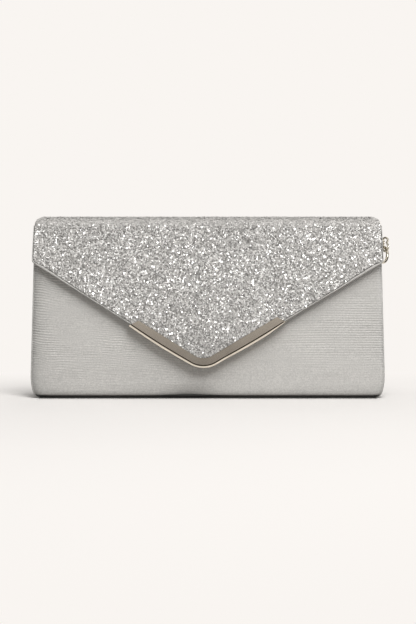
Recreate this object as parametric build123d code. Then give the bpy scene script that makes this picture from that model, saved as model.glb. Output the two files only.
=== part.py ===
from build123d import *
import math
import os

# Evening bag: an envelope clutch with a V-shaped glitter flap, a crimped metal trim on the
# flap's tip, a magnetic snap under it and one strap ring on the right gusset.
# Millimetres, +Z up, X across the width, and the flap faces -Y. The origin is the middle of
# the footprint, on the surface that the bag stands on.

# Body: front, foot and back are one leaning skin, and a gusset closes each side.
FOOT_WIDTH = 245.0  # across the sides, just above the rounded bottom corners
MOUTH_WIDTH = 239.2
FOOT_DEPTH = 50.0  # front to back at the foot, before the bends
MOUTH_DEPTH = 39.0
MOUTH_Z = 120.2  # top of the bound rim
CORNER_RUN = 5.0  # bottom corner in the front view, an ellipse quarter: half its width
CORNER_RISE = 16.0  # and half its height
FOOT_BEND = 9.0  # outer radius between the foot and the front or back wall
SKIN = 1.0  # coated fabric with its foam backing
BOARD = 1.6  # card stiffener
GUSSET = 1.0  # gusset fabric
GUSSET_REVEAL = 0.6  # the gusset sits this far inside the skin's side edges
GUSSET_FOLD = 4.5  # how far the gusset's crease goes in at the mouth
GUSSET_FOLD_Z = 15.0  # height where that crease starts
LINING = 0.6
RIM = 0.8  # thickness of the binding over the rim
FACING = 0.8  # thickness of the binding's band inside the mouth
FACING_DROP = 17.0  # height of that band, which backs the whole of the eye's backing
BOARD_FIT = 0.3  # gap round a board

# Slip pocket on the back lining.
POCKET_WIDTH = 120.0
POCKET_HEIGHT = 66.0
POCKET_ROOM = 5.0  # space inside it, front to back
POCKET_CLOTH = 0.7
POCKET_DROP = 22.0  # its top edge, measured down the wall from the mouth

# Flap: skin, board and lining, with a fold at the back and one at the front of the top.
FLAP_SKIN = 0.8
FLAP_BOARD = 1.2
FLAP_LINING = 0.5
TOP_EASE = 1.4  # air between the rim and the flap's top
MOUTH_EASE = 1.4  # air between the front wall and the flap, at the mouth
TOP_OVERHANG = 0.42  # how far the flap's top reaches past each side of the body
CORNER_OVERHANG = 1.05  # and its lower corners
FLAP_CORNER_Z = 94.2  # where the sides of the flap turn in towards its tip
FLAP_CORNER_ROUND = 2.0
FLAP_TIP_Z = 20.1  # the two lower edges would meet here, but for the tip's radius
FLAP_TIP_X = -3.2  # the tip hangs a little to the left
FLAP_TIP_ROUND = 17.0
SHOULDER_ROUND = 5.5  # top corners of the flap in the front view
EDGE_BAND = 0.7  # painted edge of the board that shows round the glitter skin
FRONT_FOLD = 5.0  # outer radius of the front fold
BACK_FOLD = 3.5  # outer radius of the back fold
FOLD_LAND = 0.3  # straight skin past each fold's arc
FOLD_GAP = 0.3  # gap between two panels at a fold line
BOARD_SETBACK = 2.0  # a flap board stops this far from the fold
TAIL_DROP = 23.6  # lower edge of the flap skin sewn on the back wall, below the mouth
TAIL_ROUND = 6.0

# Metal trim crimped over the flap's tip.
TRIM_SHEET = 0.6
TRIM_FACE = 5.4  # how far its face covers the skin
TRIM_FLANGE = 4.4  # how far its back flange covers the lining
TRIM_WALL = 1.5  # wall outside the flap's edge
TRIM_LIP = 1.3  # width of the raised bead along the outer edge
TRIM_LIP_RISE = 0.6
TRIM_LIP_TAPER = 25.0  # degrees
TRIM_REACH_LEFT = 51.6  # outer ends, measured along X from the tip
TRIM_REACH_RIGHT = 58.2
TRIM_END_ANGLE = 30.0  # the ends are cut at this angle to the X axis
SCREW_PLACES = (22.0, 48.0)  # along each leg from the tip
SCREW_INSET = 2.4  # from the flap's edge
SCREW_HEAD = 2.6
SCREW_HEAD_RISE = 0.5
SCREW_SHANK = 1.0
SCREW_GRIP = 0.5  # depth of the shank in the board
SCREW_FIT = 0.1  # radial clearance of its hole

# Magnetic snap.
SNAP_Z = 38.0
SNAP_DIAMETER = 14.0
SOCKET_RISE = 2.2
SOCKET_SHEET = 0.4
SOCKET_MOUTH = 5.4  # hole that takes the stud
SOCKET_EDGE = 0.5
MAGNET_DIAMETER = 12.0
MAGNET_BORE = 5.8
MAGNET_FIT = 0.15
STUD_BASE = 0.9
STUD_DIAMETER = 3.4
STUD_LENGTH = 1.0
SNAP_GAP = 0.3  # air between the closed halves
PRONG_SPREAD = 8.0  # between the two prongs
PRONG_WIDTH = 3.0
PRONG_SHEET = 0.4
PRONG_REACH = 2.4  # bent end of each prong
PRONG_FIT = 0.15
WASHER_DIAMETER = 11.6
WASHER_SHEET = 0.4
WASHER_FIT = 0.3

# Strap ring and its eye on the right gusset.
RING_RADIUS = 5.4  # to the middle of the wire
RING_WIRE = 2.1
RING_YAW = 55.0  # turn of the ring's plane from the front
RING_HANG = 30.0  # how far round the ring its contact with the eye is from its top
EYE_STANDOFF = 6.2  # along X, from the gusset beside the ring's lowest point
EYE_INSET = 11.07  # from the outer face of the back wall beside the post
EYE_DROP = 20.0  # middle of the wire at the bottom of the eye, below the mouth
EYE_HEIGHT = 9.6  # between the middles of the wire
EYE_RADIUS = 2.2
EYE_WIRE = 1.5
EYE_YAW = -39.0  # turn of the eye's plane from the front
EYE_SEAT = 0.65  # the wires cross at a slant, which lifts the ring by this much more
POST_DROP = 13.0  # where the post leaves the eye, below the mouth
POST_DIAMETER = 2.0
POST_FIT = 0.15
POST_TAIL = 0.4  # peened end past the backing
ROSETTE_DIAMETER = 6.4
ROSETTE_RISE = 1.0
BACKING_DIAMETER = 7.0
BACKING_RISE = 0.8

# Worked out from the sizes above.
REACH = 2 * FOOT_WIDTH  # longer than anything in the bag, for cuts
RIM_Z = MOUTH_Z - RIM
WALL_SLOPE = (FOOT_DEPTH - MOUTH_DEPTH) / 2 / MOUTH_Z
WALL_LEAN = math.atan(WALL_SLOPE)
SIDE_SLOPE = (FOOT_WIDTH - MOUTH_WIDTH) / 2 / (MOUTH_Z - CORNER_RISE)
FOLD_SPREAD = GUSSET_FOLD / (MOUTH_DEPTH / 2)
CREASE_RUN = (MOUTH_WIDTH - FOOT_WIDTH) / 2 - GUSSET_FOLD
CREASE_SLOPE = CREASE_RUN / (MOUTH_Z - GUSSET_FOLD_Z)
WALL_STACK = SKIN + BOARD + LINING
GUSSET_INNER = GUSSET_REVEAL + GUSSET
GUSSET_STACK = GUSSET_INNER + LINING
FLAP_STACK = FLAP_SKIN + FLAP_BOARD + FLAP_LINING
TOP_Z = MOUTH_Z + TOP_EASE + FLAP_STACK


def wall_y(z):
    """How far the outer face of the front or back wall is from the middle, at a height."""
    return FOOT_DEPTH / 2 - WALL_SLOPE * z


def body_width(z):
    """Width of the body across its sides, at a height."""
    return FOOT_WIDTH - 2 * SIDE_SLOPE * (z - CORNER_RISE)


def gusset_x(y, z):
    """Outer face of the right gusset's rear half, at a depth and a height."""
    foot_x = FOOT_WIDTH / 2 - GUSSET_REVEAL * math.hypot(1, FOLD_SPREAD)
    return foot_x + CREASE_SLOPE * (z - GUSSET_FOLD_Z) + FOLD_SPREAD * y


# The flap's inner face stands off the wall by the closed snap, and by MOUTH_EASE at the mouth.
SNAP_STACK = SOCKET_RISE + SNAP_GAP + STUD_BASE
SNAP_Y = -wall_y(SNAP_Z)
STUD_Y = SNAP_Y - SNAP_STACK * math.cos(WALL_LEAN)
STUD_Z = SNAP_Z + SNAP_STACK * math.sin(WALL_LEAN)
FLAP_SLOPE = (-wall_y(MOUTH_Z) - MOUTH_EASE - STUD_Y) / (MOUTH_Z - STUD_Z)
FLAP_LEAN = math.atan(FLAP_SLOPE)

FLAP_TOP_WIDTH = body_width(TOP_Z) + 2 * TOP_OVERHANG
FLAP_CORNER_WIDTH = body_width(FLAP_CORNER_Z) + 2 * CORNER_OVERHANG
TAIL_Z = MOUTH_Z - TAIL_DROP

# Fold lines: where the outer faces of two panels would meet if the fold were sharp.
FRONT_LINE_Y = STUD_Y + FLAP_SLOPE * (TOP_Z - STUD_Z) - FLAP_STACK / math.cos(FLAP_LEAN)
BACK_LINE_Y = wall_y(TOP_Z) + FLAP_SKIN / math.cos(WALL_LEAN)
FRONT_TURN = math.pi / 2 - FLAP_LEAN
BACK_TURN = math.pi / 2 - WALL_LEAN
FRONT_REACH = FRONT_FOLD * math.tan(FRONT_TURN / 2) + FOLD_LAND
BACK_REACH = BACK_FOLD * math.tan(BACK_TURN / 2) + FOLD_LAND
FOOT_TURN_REACH = FOOT_BEND * math.tan((math.pi / 2 + WALL_LEAN) / 2)

FLAP_FACE = Plane((0, FRONT_LINE_Y, TOP_Z), x_dir=(1, 0, 0), z_dir=(0, -1, FLAP_SLOPE))


def slab(low, high):
    """Everything between two heights."""
    return Pos(0, 0, (low + high) / 2) * Box(REACH, REACH, high - low)


def side_outline(inset):
    """Side view of the body, drawn in by inset at the front, back and foot."""
    run = inset / math.cos(WALL_LEAN)
    low_y = wall_y(inset) - run
    high_z = MOUTH_Z + FOOT_DEPTH
    high_y = wall_y(high_z) - run
    outline = make_face(
        Polyline((-low_y, inset), (low_y, inset), (high_y, high_z), (-high_y, high_z), close=True)
    )
    feet = outline.vertices().sort_by(Axis.Y)[:2]
    return fillet(feet, FOOT_BEND - inset)


def front_outline(inset):
    """Front view of the body, drawn in by inset at the sides and foot."""
    foot = FOOT_WIDTH / 2 - inset
    high_z = MOUTH_Z + FOOT_DEPTH
    high = foot - SIDE_SLOPE * (high_z - CORNER_RISE)
    run = CORNER_RUN - inset
    rise = CORNER_RISE - inset
    middle = foot - run
    corner = EllipticalCenterArc((middle, CORNER_RISE), run, rise, -90, arc_size=90)
    lines = Polyline((foot, CORNER_RISE), (high, high_z), (0, high_z), (0, inset), (middle, inset))
    half = make_face(corner + lines)
    return half + mirror(half, about=Plane.YZ)


def gusset_fold(inset):
    """Wedge that presses the right gusset in along its crease, moved in by inset."""
    shift = inset * math.hypot(1, FOLD_SPREAD)
    foot_x = FOOT_WIDTH / 2 - shift
    wide = FOOT_DEPTH
    wedge = make_face(
        Polyline((0, 0), (FOLD_SPREAD * wide, wide), (FOLD_SPREAD * wide, -wide), close=True)
    )
    rise = MOUTH_Z + FOOT_DEPTH - GUSSET_FOLD_Z
    length = math.hypot(rise, CREASE_SLOPE * rise)
    return extrude(Pos(foot_x, 0, GUSSET_FOLD_Z) * wedge, length, dir=(CREASE_SLOPE, 0, 1))


def walls(inset):
    """Body volume between the front, back and foot faces drawn in by inset."""
    return extrude(Plane.YZ * side_outline(inset), REACH / 2, both=True)


def sides(inset):
    """Body volume between the gusset faces drawn in by inset, creases pressed in."""
    wedge = gusset_fold(inset)
    body = extrude(Plane.XZ * front_outline(inset), REACH / 2, both=True)
    return body - wedge - mirror(wedge, about=Plane.YZ)


def turned_prong(reach):
    """One pair of snap prongs, from the origin up to reach, with their ends bent outwards."""
    leg = Pos(PRONG_SPREAD / 2, 0, reach / 2) * Box(PRONG_SHEET, PRONG_WIDTH, reach)
    bend_x = PRONG_SPREAD / 2 + (PRONG_SHEET - PRONG_REACH) / 2
    bend = Pos(bend_x, 0, reach - PRONG_SHEET / 2) * Box(PRONG_REACH, PRONG_WIDTH, PRONG_SHEET)
    prong = leg + bend
    return prong, mirror(prong, about=Plane.YZ)


def prong_slots(reach):
    """Slots that the two prongs pass through, from the origin up to reach."""
    slot = Box(PRONG_SHEET + 2 * PRONG_FIT, PRONG_WIDTH + 2 * PRONG_FIT, 2 * reach)
    return Pos(PRONG_SPREAD / 2, 0, 0) * slot + Pos(-PRONG_SPREAD / 2, 0, 0) * slot


def disc(diameter, low, high):
    """Round plate about the Z axis between two heights."""
    return Pos(0, 0, (low + high) / 2) * Cylinder(diameter / 2, high - low)


# Where the snap's socket and stud sit: Z of each place points from its face into the layers.
SOCKET_SEAT = Plane((FLAP_TIP_X, SNAP_Y, SNAP_Z), x_dir=(1, 0, 0), z_dir=(0, 1, -WALL_SLOPE))
STUD_SEAT = Plane((FLAP_TIP_X, STUD_Y, STUD_Z), x_dir=(1, 0, 0), z_dir=(0, -1, FLAP_SLOPE))
WASHER_SEAT = WASHER_SHEET + PRONG_SHEET  # depth of the pocket for a washer and the bent prongs


def socket_holes():
    """Slots through the front wall and the washer's pocket in the board's inner face."""
    depth = SKIN + BOARD
    pocket = disc(WASHER_DIAMETER + 2 * WASHER_FIT, depth - WASHER_SEAT, depth)
    return SOCKET_SEAT * (prong_slots(depth) + pocket)


def stud_holes():
    """Slots through the flap's lining and board, and the washer's pocket under the skin."""
    depth = FLAP_LINING + FLAP_BOARD
    pocket = disc(WASHER_DIAMETER + 2 * WASHER_FIT, depth - WASHER_SEAT, depth)
    return STUD_SEAT * (prong_slots(depth) + pocket)


# The eye stands off the gusset far enough for the ring to hang clear of it.
RING_TURN = math.radians(RING_HANG)
POST_Z = MOUTH_Z - POST_DROP
EYE_BOTTOM_Z = MOUTH_Z - EYE_DROP
RING_TOUCH_Z = EYE_BOTTOM_Z + (EYE_WIRE + RING_WIRE) / 2 + EYE_SEAT
RING_LOW_Z = RING_TOUCH_Z - RING_RADIUS * (1 + math.cos(RING_TURN)) - RING_WIRE / 2
EYE_Y = wall_y(POST_Z) - EYE_INSET
EYE_X = gusset_x(EYE_Y, RING_LOW_Z) + EYE_STANDOFF

# The post leaves the eye's inner strand square to the gusset's rear half.
GUSSET_NORMAL = Vector(1, -FOLD_SPREAD, -CREASE_SLOPE).normalized()
EYE_AXIS = Vector(math.cos(math.radians(EYE_YAW)), math.sin(math.radians(EYE_YAW)), 0)
POST_START = Vector(EYE_X, EYE_Y, POST_Z) - EYE_AXIS * EYE_RADIUS
POST_REACH = (POST_START.X - gusset_x(POST_START.Y, POST_Z)) * GUSSET_NORMAL.X
POST_SEAT = Plane(POST_START - GUSSET_NORMAL * POST_REACH, z_dir=GUSSET_NORMAL)


def post_hole():
    """Hole through the gusset, its lining and the mouth's facing for the eye's post."""
    depth = ROSETTE_DIAMETER
    return POST_SEAT * disc(POST_DIAMETER + 2 * POST_FIT, -depth, depth)


def outer_wrap():
    """One skin down the front, under the foot and up the back."""
    sheet = walls(0) - walls(SKIN)
    front_view = extrude(Plane.XZ * front_outline(0), REACH / 2, both=True)
    return (sheet & front_view & slab(0, RIM_Z)) - socket_holes()


def gusset_panels():
    """The two creased side panels, right and left."""
    shell = (sides(GUSSET_REVEAL) - sides(GUSSET_INNER)) & walls(SKIN)
    foot = Pos(0, 0, CORNER_RISE / 2) * Box(FOOT_WIDTH - 2 * CORNER_RUN, REACH, CORNER_RISE)
    shell = (shell & slab(0, RIM_Z)) - foot
    right, left = shell.solids().sort_by(Axis.X, reverse=True)
    return right - post_hole(), left


def wall_boards():
    """Card stiffeners of the front wall, the back wall and the foot."""
    sheet = (walls(SKIN) - walls(SKIN + BOARD)) & sides(GUSSET_INNER)
    flat = sheet & slab(FOOT_TURN_REACH + BOARD_FIT, RIM_Z)
    front, back = flat.solids().sort_by(Axis.Y)
    foot_depth = FOOT_DEPTH - 2 * FOOT_TURN_REACH - 2 * BOARD_FIT
    foot_width = FOOT_WIDTH - 2 * CORNER_RUN - 2 * BOARD_FIT
    foot = Pos(0, 0, SKIN + BOARD / 2) * Box(foot_width, foot_depth, BOARD)
    return front - socket_holes(), back, foot


def lining():
    """Sewn lining bag, which follows the creased gussets."""
    outer = walls(SKIN + BOARD) & sides(GUSSET_INNER)
    inner = walls(WALL_STACK) & sides(GUSSET_STACK)
    return ((outer - inner) & slab(0, RIM_Z)) - post_hole()


def mouth_binding():
    """Binding over the rim, with its band inside the mouth."""
    clear = walls(WALL_STACK + FACING) & sides(GUSSET_STACK + FACING)
    rim = walls(0) & sides(GUSSET_REVEAL) & slab(RIM_Z, MOUTH_Z)
    band = walls(WALL_STACK) & sides(GUSSET_STACK) & slab(RIM_Z - FACING_DROP, RIM_Z)
    return rim + band - clear - post_hole()


def lining_pocket():
    """Slip pocket sewn on the back lining, held open at the top."""
    seat_z = MOUTH_Z - POCKET_DROP
    seat_y = wall_y(seat_z) - WALL_STACK / math.cos(WALL_LEAN)
    seat = Plane((0, seat_y, seat_z), x_dir=(1, 0, 0), z_dir=(0, -1, -WALL_SLOPE))
    outer = Box(POCKET_WIDTH, POCKET_HEIGHT, POCKET_ROOM + POCKET_CLOTH)
    inner = Box(POCKET_WIDTH - 2 * POCKET_CLOTH, POCKET_HEIGHT, POCKET_ROOM)
    shell = outer - Pos(0, POCKET_CLOTH, -POCKET_CLOTH / 2) * inner
    return seat * (Pos(0, -POCKET_HEIGHT / 2, (POCKET_ROOM + POCKET_CLOTH) / 2) * shell)


def snap_socket():
    """Cup, magnet, prongs and washer of the snap's half on the front wall."""
    cup = disc(SNAP_DIAMETER, -SOCKET_RISE, 0)
    cup = fillet(cup.edges().group_by(Axis.Z)[0], SOCKET_EDGE)
    room = disc(MAGNET_DIAMETER + 2 * MAGNET_FIT, SOCKET_SHEET - SOCKET_RISE, 0)
    cup = cup - room - disc(SOCKET_MOUTH, -SOCKET_RISE, 0)
    magnet_back = -PRONG_SHEET
    magnet = disc(MAGNET_DIAMETER, SOCKET_SHEET - SOCKET_RISE, magnet_back)
    magnet = magnet - disc(MAGNET_BORE, -SOCKET_RISE, 0)
    bridge = Pos(0, 0, -PRONG_SHEET / 2) * Box(PRONG_SPREAD + PRONG_SHEET, PRONG_WIDTH, PRONG_SHEET)
    depth = SKIN + BOARD
    right, left = turned_prong(depth)
    prongs = bridge + right + left
    washer = disc(WASHER_DIAMETER, depth - WASHER_SEAT, depth - PRONG_SHEET) - prong_slots(depth)
    return [SOCKET_SEAT * piece for piece in (cup, magnet, prongs, washer)]


def snap_stud():
    """Base with its stud, prongs and washer of the snap's half on the flap."""
    room = PRONG_SHEET + PRONG_FIT
    base = disc(SNAP_DIAMETER, -STUD_BASE, 0)
    base = fillet(base.edges().group_by(Axis.Z)[0], STUD_BASE / 3)
    seat = Box(PRONG_SPREAD + PRONG_SHEET + 2 * PRONG_FIT, PRONG_WIDTH + 2 * PRONG_FIT, 2 * room)
    stud = disc(STUD_DIAMETER, -STUD_BASE - STUD_LENGTH, -STUD_BASE)
    stud = fillet(stud.edges().group_by(Axis.Z)[0], STUD_BASE / 3)
    cap = base - seat + stud
    bridge = Pos(0, 0, -PRONG_SHEET / 2) * Box(PRONG_SPREAD + PRONG_SHEET, PRONG_WIDTH, PRONG_SHEET)
    depth = FLAP_LINING + FLAP_BOARD
    right, left = turned_prong(depth)
    prongs = bridge + right + left
    washer = disc(WASHER_DIAMETER, depth - WASHER_SEAT, depth - PRONG_SHEET) - prong_slots(depth)
    return [STUD_SEAT * piece for piece in (cap, prongs, washer)]


def down_flap(z):
    """Place on the flap's outer face at a height, as a distance up from the front fold line."""
    return (z - TOP_Z) / math.cos(FLAP_LEAN)


TIP = Vector(FLAP_TIP_X, down_flap(FLAP_TIP_Z))
LEFT_CORNER = Vector(-FLAP_CORNER_WIDTH / 2, down_flap(FLAP_CORNER_Z))
RIGHT_CORNER = Vector(FLAP_CORNER_WIDTH / 2, down_flap(FLAP_CORNER_Z))


def flap_outline(inset):
    """The flap on its own face, drawn in by inset, from the front fold down to its tip."""
    top = FOOT_DEPTH
    flare = (FLAP_CORNER_WIDTH - FLAP_TOP_WIDTH) / 2 / -LEFT_CORNER.Y
    half = FLAP_TOP_WIDTH / 2 - flare * top
    outline = make_face(
        Polyline((-half, top), LEFT_CORNER, TIP, RIGHT_CORNER, (half, top), close=True)
    )
    low = outline.vertices().sort_by(Axis.Y)
    outline = fillet(low[:1], FLAP_TIP_ROUND)
    corners = outline.vertices().group_by(Axis.Y)[-2]
    outline = fillet(corners, FLAP_CORNER_ROUND)
    if inset:
        outline = offset(outline, -inset)
    below = Pos(0, -REACH / 2 - FRONT_REACH - FOLD_GAP) * Rectangle(REACH, REACH)
    return outline & below


def shoulders(inset):
    """Everything inside the flap's front view, with its rounded top corners drawn in by inset."""
    flare = (FLAP_CORNER_WIDTH - FLAP_TOP_WIDTH) / 2 / (TOP_Z - FLAP_CORNER_Z)
    high = FLAP_TOP_WIDTH / 2
    low = high + flare * TOP_Z
    outline = make_face(Polyline((-low, 0), (low, 0), (high, TOP_Z), (-high, TOP_Z), close=True))
    outline = fillet(outline.vertices().sort_by(Axis.Y)[-2:], SHOULDER_ROUND)
    return extrude(Plane.XZ * Pos(0, inset) * offset(outline, -inset), REACH / 2, both=True)


def bent_strip(depth, thickness, back_reach):
    """Sheet over the top and down the front fold, from depth to depth + thickness inside."""
    inner_turn = depth * math.tan(FRONT_TURN / 2)
    end = FRONT_REACH - inner_turn
    corner = (FRONT_LINE_Y + inner_turn, TOP_Z - depth)
    end_y = corner[0] - end * math.sin(FLAP_LEAN)
    end_z = corner[1] - end * math.cos(FLAP_LEAN)
    outside = FilletPolyline(
        (BACK_LINE_Y - back_reach, corner[1]), corner, (end_y, end_z), radius=FRONT_FOLD - depth
    )
    face = make_face(offset(outside, thickness, side=Side.LEFT))
    return extrude(Plane.YZ * face, REACH / 2, both=True)


def flap_tail():
    """Flap skin sewn on the back wall, up to the back fold's end on the top."""
    low_y = wall_y(TAIL_Z) + FLAP_SKIN / math.cos(WALL_LEAN)
    outside = FilletPolyline(
        (low_y, TAIL_Z), (BACK_LINE_Y, TOP_Z), (BACK_LINE_Y - BACK_REACH, TOP_Z), radius=BACK_FOLD
    )
    face = make_face(offset(outside, FLAP_SKIN, side=Side.LEFT))
    sheet = extrude(Plane.YZ * face, REACH / 2, both=True) & shoulders(0)
    lowest = sheet.edges().filter_by(Axis.Y, tolerance=5).group_by(Axis.Z)[0]
    return fillet(lowest, TAIL_ROUND)


def flap_top():
    """Skin, board and lining of the flap's top panel, with the front fold."""
    back = BACK_REACH + FOLD_GAP
    skin = bent_strip(0, FLAP_SKIN, back) & shoulders(0)
    lining_sheet = bent_strip(FLAP_SKIN + FLAP_BOARD, FLAP_LINING, back) & shoulders(EDGE_BAND)
    back_y = BACK_LINE_Y - back - BOARD_SETBACK
    front_y = FRONT_LINE_Y + FRONT_REACH + BOARD_SETBACK
    board = Pos(0, (back_y + front_y) / 2, TOP_Z - FLAP_SKIN - FLAP_BOARD / 2) * Box(
        REACH, back_y - front_y, FLAP_BOARD
    )
    return skin, board & shoulders(EDGE_BAND), lining_sheet


def flap_layer(inset, depth, thickness):
    """One layer of the front flap, between depth and depth + thickness under its outer face."""
    sheet = extrude(FLAP_FACE * (Pos(0, 0, -depth) * flap_outline(inset)), -thickness)
    return sheet & shoulders(0)


def leg_points(inset):
    """Places along both legs of the flap's tip, drawn in from the edge by inset."""
    places = []
    for corner, side in ((LEFT_CORNER, 1), (RIGHT_CORNER, -1)):
        along = (corner - TIP).normalized()
        inward = Vector(along.Y, -along.X) * side
        places += [TIP + along * place + inward * inset for place in SCREW_PLACES]
    return places


def screw_holes():
    """Holes for the trim's screws through the flange, the lining and into the board."""
    top = -FLAP_STACK + FLAP_LINING + SCREW_GRIP
    low = -FLAP_STACK - TRIM_SHEET
    drill = disc(SCREW_SHANK + 2 * SCREW_FIT, low, top)
    return [FLAP_FACE * (Pos(place.X, place.Y, 0) * drill) for place in leg_points(SCREW_INSET)]


def trim_screws():
    """Four small screws through the trim's back flange."""
    under = -FLAP_STACK - TRIM_SHEET
    top = -FLAP_STACK + FLAP_LINING + SCREW_GRIP
    head = disc(SCREW_HEAD, under - SCREW_HEAD_RISE, under)
    head = fillet(head.edges().group_by(Axis.Z)[0], SCREW_HEAD_RISE / 2)
    screw = head + disc(SCREW_SHANK, under, top)
    return [FLAP_FACE * (Pos(place.X, place.Y, 0) * screw) for place in leg_points(SCREW_INSET)]


def trim_span():
    """Region of the flap's face between the trim's slanting ends."""
    slant = math.radians(TRIM_END_ANGLE)
    ends = []
    for corner, reach, side in (
        (LEFT_CORNER, TRIM_REACH_LEFT, -1),
        (RIGHT_CORNER, TRIM_REACH_RIGHT, 1),
    ):
        along = corner - TIP
        slope = along.Y / abs(along.X)
        proud = TRIM_WALL * math.hypot(1, slope)
        outer = Vector(TIP.X + side * reach, TIP.Y + slope * reach - proud)
        inward = Vector(-side * math.cos(slant), math.sin(slant))
        ends.append((outer - inward * TRIM_REACH_LEFT, outer + inward * TRIM_REACH_LEFT / 2))
    below = Vector(TIP.X, TIP.Y - FOOT_DEPTH)
    return make_face(Polyline(ends[0][0], ends[0][1], ends[1][1], ends[1][0], below, close=True))


def flap_trim():
    """Crimped V channel: face with a raised bead, wall round the edge, and back flange."""
    span = trim_span()
    outer = flap_outline(-TRIM_WALL) & span
    face = outer - flap_outline(TRIM_FACE)
    wall = outer - flap_outline(0)
    flange = outer - flap_outline(TRIM_FLANGE)
    bead = outer - flap_outline(TRIM_LIP - TRIM_WALL)
    under = -FLAP_STACK - TRIM_SHEET
    channel = extrude(face, TRIM_SHEET)
    channel += extrude(Pos(0, 0, under) * wall, TRIM_SHEET - under)
    channel += extrude(Pos(0, 0, under) * flange, TRIM_SHEET)
    channel += extrude(Pos(0, 0, TRIM_SHEET) * bead, TRIM_LIP_RISE, taper=TRIM_LIP_TAPER)
    trim = FLAP_FACE * channel
    for hole in screw_holes():
        trim -= hole
    return trim


def ring_eye():
    """Oval wire eye with its post, which ends peened behind the backing."""
    straight = EYE_HEIGHT - 2 * EYE_RADIUS
    middle = Plane(
        (EYE_X, EYE_Y, EYE_BOTTOM_Z + EYE_HEIGHT / 2),
        x_dir=EYE_AXIS,
        z_dir=EYE_AXIS.cross(Vector(0, 0, 1)),
    )
    strand = Rot(90, 0, 0) * Cylinder(EYE_WIRE / 2, straight)
    arch = Torus(EYE_RADIUS, EYE_WIRE / 2) & Pos(0, EYE_HEIGHT, 0) * Box(REACH, 2 * EYE_HEIGHT, REACH)
    loop = Pos(EYE_RADIUS, 0, 0) * strand + Pos(-EYE_RADIUS, 0, 0) * strand
    loop += Pos(0, straight / 2, 0) * arch
    loop += Pos(0, -straight / 2, 0) * mirror(arch, about=Plane.XZ)
    depth = GUSSET + LINING + FACING + BACKING_RISE + POST_TAIL
    post = POST_SEAT * disc(POST_DIAMETER, -depth, POST_REACH)
    head = BACKING_DIAMETER / 2
    peen = POST_SEAT * disc(head, -depth, POST_TAIL - depth)
    return middle * loop + post + peen


def eye_plates():
    """Rosette outside the gusset and backing inside the mouth's facing."""
    hole = disc(POST_DIAMETER + 2 * POST_FIT, -ROSETTE_DIAMETER, ROSETTE_DIAMETER)
    rosette = disc(ROSETTE_DIAMETER, 0, ROSETTE_RISE)
    rosette = fillet(rosette.edges().group_by(Axis.Z)[-1], ROSETTE_RISE / 2) - hole
    seat = GUSSET + LINING + FACING
    backing = disc(BACKING_DIAMETER, -seat - BACKING_RISE, -seat) - hole
    return POST_SEAT * rosette, POST_SEAT * backing


def strap_ring():
    """Round ring that hangs in the bottom of the eye."""
    yaw = math.radians(RING_YAW)
    level = Vector(math.cos(yaw), math.sin(yaw), 0)
    contact = Vector(EYE_X, EYE_Y, RING_TOUCH_Z)
    up_ring = Vector(0, 0, 1) * math.cos(RING_TURN) + level * math.sin(RING_TURN)
    middle = contact - up_ring * RING_RADIUS
    seat = Plane(middle, x_dir=level, z_dir=level.cross(Vector(0, 0, 1)))
    return seat * Torus(RING_RADIUS, RING_WIRE / 2)


def save(name, *solids):
    """Write one node's solids to its own file."""
    flat = [solid for piece in solids for solid in piece.solids()]
    export_step(Compound(children=flat), f"parts/{name}.step")


os.makedirs("parts", exist_ok=True)

save("outer_wrap", outer_wrap())
for name, piece in zip(("side_panel_right", "side_panel_left"), gusset_panels()):
    save(name, piece)
for name, piece in zip(("front_board", "back_board", "base_board"), wall_boards()):
    save(name, piece)
save("lining", lining())
save("lining_pocket", lining_pocket())
save("mouth_binding", mouth_binding())
socket_names = ("snap_socket_cap", "snap_magnet", "snap_socket_prongs", "snap_socket_washer")
for name, piece in zip(socket_names, snap_socket()):
    save(name, piece)
save("ring_eye", ring_eye())
for name, piece in zip(("eye_rosette", "eye_backing"), eye_plates()):
    save(name, piece)
save("strap_ring", strap_ring())

save("flap_tail", flap_tail())
for name, piece in zip(("flap_top_skin", "flap_top_board", "flap_top_lining"), flap_top()):
    save(name, piece)
save("flap_skin", flap_layer(EDGE_BAND, 0, FLAP_SKIN))
flap_board = flap_layer(0, FLAP_SKIN, FLAP_BOARD) - stud_holes()
flap_lining = flap_layer(0, FLAP_SKIN + FLAP_BOARD, FLAP_LINING) - stud_holes()
for hole in screw_holes():
    flap_board -= hole
    flap_lining -= hole
save("flap_board", flap_board)
save("flap_lining", flap_lining)
save("flap_trim", flap_trim())
save("trim_screws", *trim_screws())
for name, piece in zip(("snap_stud_cap", "snap_stud_prongs", "snap_stud_washer"), snap_stud()):
    save(name, piece)
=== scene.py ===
"""Evening clutch: soft skins, glitter, trim and ring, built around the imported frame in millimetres."""

from math import acos, atan, atan2, ceil, cos, hypot, pi, radians, sin, sqrt, tan

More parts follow.
